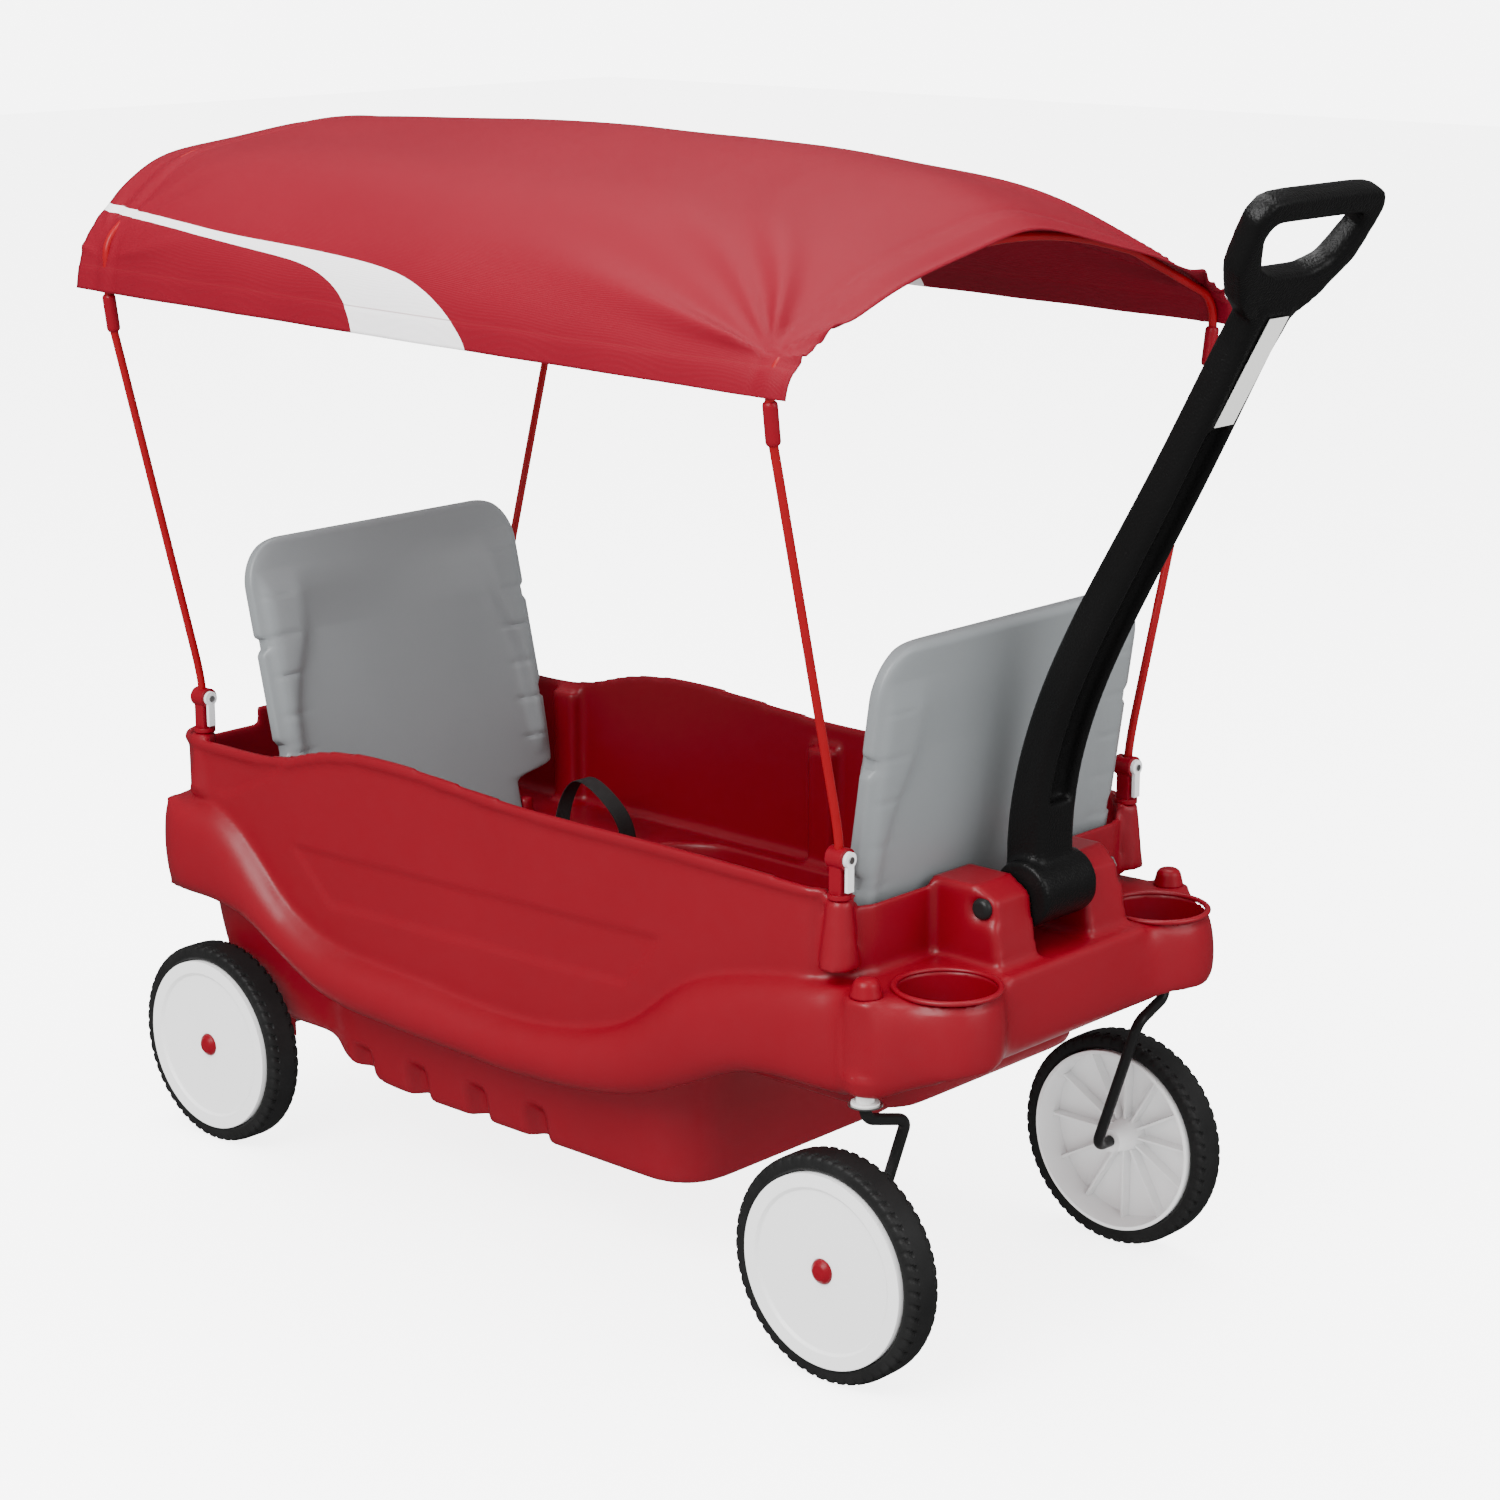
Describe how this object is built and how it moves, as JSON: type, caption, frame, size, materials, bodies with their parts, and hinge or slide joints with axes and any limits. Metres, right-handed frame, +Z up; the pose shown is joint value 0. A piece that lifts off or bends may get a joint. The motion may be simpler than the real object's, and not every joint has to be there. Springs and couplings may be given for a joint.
{
  "type": "kids pull wagon",
  "caption": "Moulded tub wagon with facing fold-down seat backs, lap belts, cup holders, a pull handle, swivel front casters, fixed rear wheels and a lift-off fabric canopy on slim poles.",
  "frame": {"origin": "on the ground, midway between the left and right wheels and close to the middle of the overall length", "axes": "+X forward, towards the pull handle; +Y to the riders' left facing forward; +Z up"},
  "size_m": [1.4453, 0.701, 1.1771],
  "materials": {
    "tub_plastic": "moulded red plastic with a fine satin grain",
    "clamp_plastic": "moulded red plastic, satin",
    "seat_plastic": "moulded grey plastic with a soft sheen",
    "white_plastic": "moulded white plastic",
    "lever_plastic": "light grey plastic",
    "black_plastic": "moulded black plastic with a fine grain",
    "tyre": "matt black tyre",
    "black_steel": "gloss black enamel on steel rod",
    "red_steel": "gloss red enamel on steel tube",
    "plated_steel": "zinc plated steel",
    "canopy_cloth": "woven red polyester",
    "webbing": "woven black nylon",
    "label": "blank light grey sticker"
  },
  "bodies": {
    "tub": {"tub_shell": "tub_plastic", "pivot_caps": "tub_plastic", "pivot_bushes": "black_plastic", "pivot_washers": "plated_steel", "handle_bolt": "black_steel", "handle_nut": "black_steel", "rear_axle": "black_steel", "rear_axle_clips": "plated_steel", "axle_saddles": "tub_plastic", "axle_spacers": "black_plastic", "seat_pins": "plated_steel", "clamp_rivets": "plated_steel", "belt_web_rear": "webbing", "belt_anchors_rear": "plated_steel", "belt_buckle_rear": "black_plastic", "belt_web_front": "webbing", "belt_anchors_front": "plated_steel", "belt_buckle_front": "black_plastic", "pole_clamp_front_left": "clamp_plastic", "pole_clamp_front_right": "clamp_plastic", "pole_clamp_rear_left": "clamp_plastic", "pole_clamp_rear_right": "clamp_plastic"},
    "handle": {"handle_arm": "black_plastic", "handle_bushes": "white_plastic", "handle_label": "label"},
    "seat_rear": {"seat_back_rear": "seat_plastic"},
    "seat_front": {"seat_back_front": "seat_plastic"},
    "caster_left": {"caster_rod_left": "black_steel", "caster_clips_left": "plated_steel"},
    "caster_right": {"caster_rod_right": "black_steel", "caster_clips_right": "plated_steel"},
    "canopy": {"canopy_sheet": "canopy_cloth", "canopy_bow_front": "red_steel", "canopy_bow_rear": "red_steel", "canopy_pole_front_left": "red_steel", "canopy_pole_front_right": "red_steel", "canopy_pole_rear_left": "red_steel", "canopy_pole_rear_right": "red_steel", "canopy_sleeve_front_left": "clamp_plastic", "canopy_sleeve_front_right": "clamp_plastic", "canopy_sleeve_rear_left": "clamp_plastic", "canopy_sleeve_rear_right": "clamp_plastic"},
    "wheel_front_left": {"wheel_front_left_tyre": "tyre", "wheel_front_left_rim": "white_plastic", "wheel_front_left_hub_cap": "tub_plastic"},
    "wheel_front_right": {"wheel_front_right_tyre": "tyre", "wheel_front_right_rim": "white_plastic", "wheel_front_right_hub_cap": "tub_plastic"},
    "wheel_rear_left": {"wheel_rear_left_tyre": "tyre", "wheel_rear_left_rim": "white_plastic", "wheel_rear_left_hub_cap": "tub_plastic"},
    "wheel_rear_right": {"wheel_rear_right_tyre": "tyre", "wheel_rear_right_rim": "white_plastic", "wheel_rear_right_hub_cap": "tub_plastic"},
    "lever_front_left": {"clamp_lever_front_left": "lever_plastic"},
    "lever_front_right": {"clamp_lever_front_right": "lever_plastic"},
    "lever_rear_left": {"clamp_lever_rear_left": "lever_plastic"},
    "lever_rear_right": {"clamp_lever_rear_right": "lever_plastic"}
  },
  "joints": [
    {"name": "handle_pivot", "type": "hinge", "parent": "tub", "child": "handle", "pos_m": [0.418, 0, 0.466], "axis": [0, 1, 0], "range_deg": [-4, 84]},
    {"name": "seat_rear_fold", "type": "hinge", "parent": "tub", "child": "seat_rear", "pos_m": [-0.481, 0, 0.351], "axis": [0, 1, 0], "range_deg": [0, 97]},
    {"name": "seat_front_fold", "type": "hinge", "parent": "tub", "child": "seat_front", "pos_m": [0.321, 0, 0.368], "axis": [0, 1, 0], "range_deg": [-99, 0]},
    {"name": "caster_left_swivel", "type": "hinge", "parent": "tub", "child": "caster_left", "pos_m": [0.394, 0.245, 0.35], "axis": [0, 0, 1], "continuous": true},
    {"name": "wheel_front_left_spin", "type": "hinge", "parent": "caster_left", "child": "wheel_front_left", "pos_m": [0.35, 0.237, 0.1175], "axis": [0, 1, 0], "continuous": true},
    {"name": "caster_right_swivel", "type": "hinge", "parent": "tub", "child": "caster_right", "pos_m": [0.394, -0.245, 0.35], "axis": [0, 0, 1], "continuous": true},
    {"name": "wheel_front_right_spin", "type": "hinge", "parent": "caster_right", "child": "wheel_front_right", "pos_m": [0.35, -0.237, 0.1175], "axis": [0, 1, 0], "continuous": true},
    {"name": "wheel_rear_left_spin", "type": "hinge", "parent": "tub", "child": "wheel_rear_left", "pos_m": [-0.608, 0.224, 0.1175], "axis": [0, 1, 0], "continuous": true},
    {"name": "wheel_rear_right_spin", "type": "hinge", "parent": "tub", "child": "wheel_rear_right", "pos_m": [-0.608, -0.224, 0.1175], "axis": [0, 1, 0], "continuous": true},
    {"name": "canopy_lift", "type": "slide", "parent": "tub", "child": "canopy", "axis": [0, 0, 1], "range_m": [0, 0.25]},
    {"name": "lever_front_left_swing", "type": "hinge", "parent": "tub", "child": "lever_front_left", "pos_m": [0.3626, 0.23, 0.532], "axis": [1, 0, 0], "range_deg": [0, 90]},
    {"name": "lever_front_right_swing", "type": "hinge", "parent": "tub", "child": "lever_front_right", "pos_m": [0.3626, -0.23, 0.532], "axis": [1, 0, 0], "range_deg": [-90, 0]},
    {"name": "lever_rear_left_swing", "type": "hinge", "parent": "tub", "child": "lever_rear_left", "pos_m": [-0.5914, 0.23, 0.532], "axis": [1, 0, 0], "range_deg": [0, 90]},
    {"name": "lever_rear_right_swing", "type": "hinge", "parent": "tub", "child": "lever_rear_right", "pos_m": [-0.5914, -0.23, 0.532], "axis": [1, 0, 0], "range_deg": [-90, 0]}
  ]
}
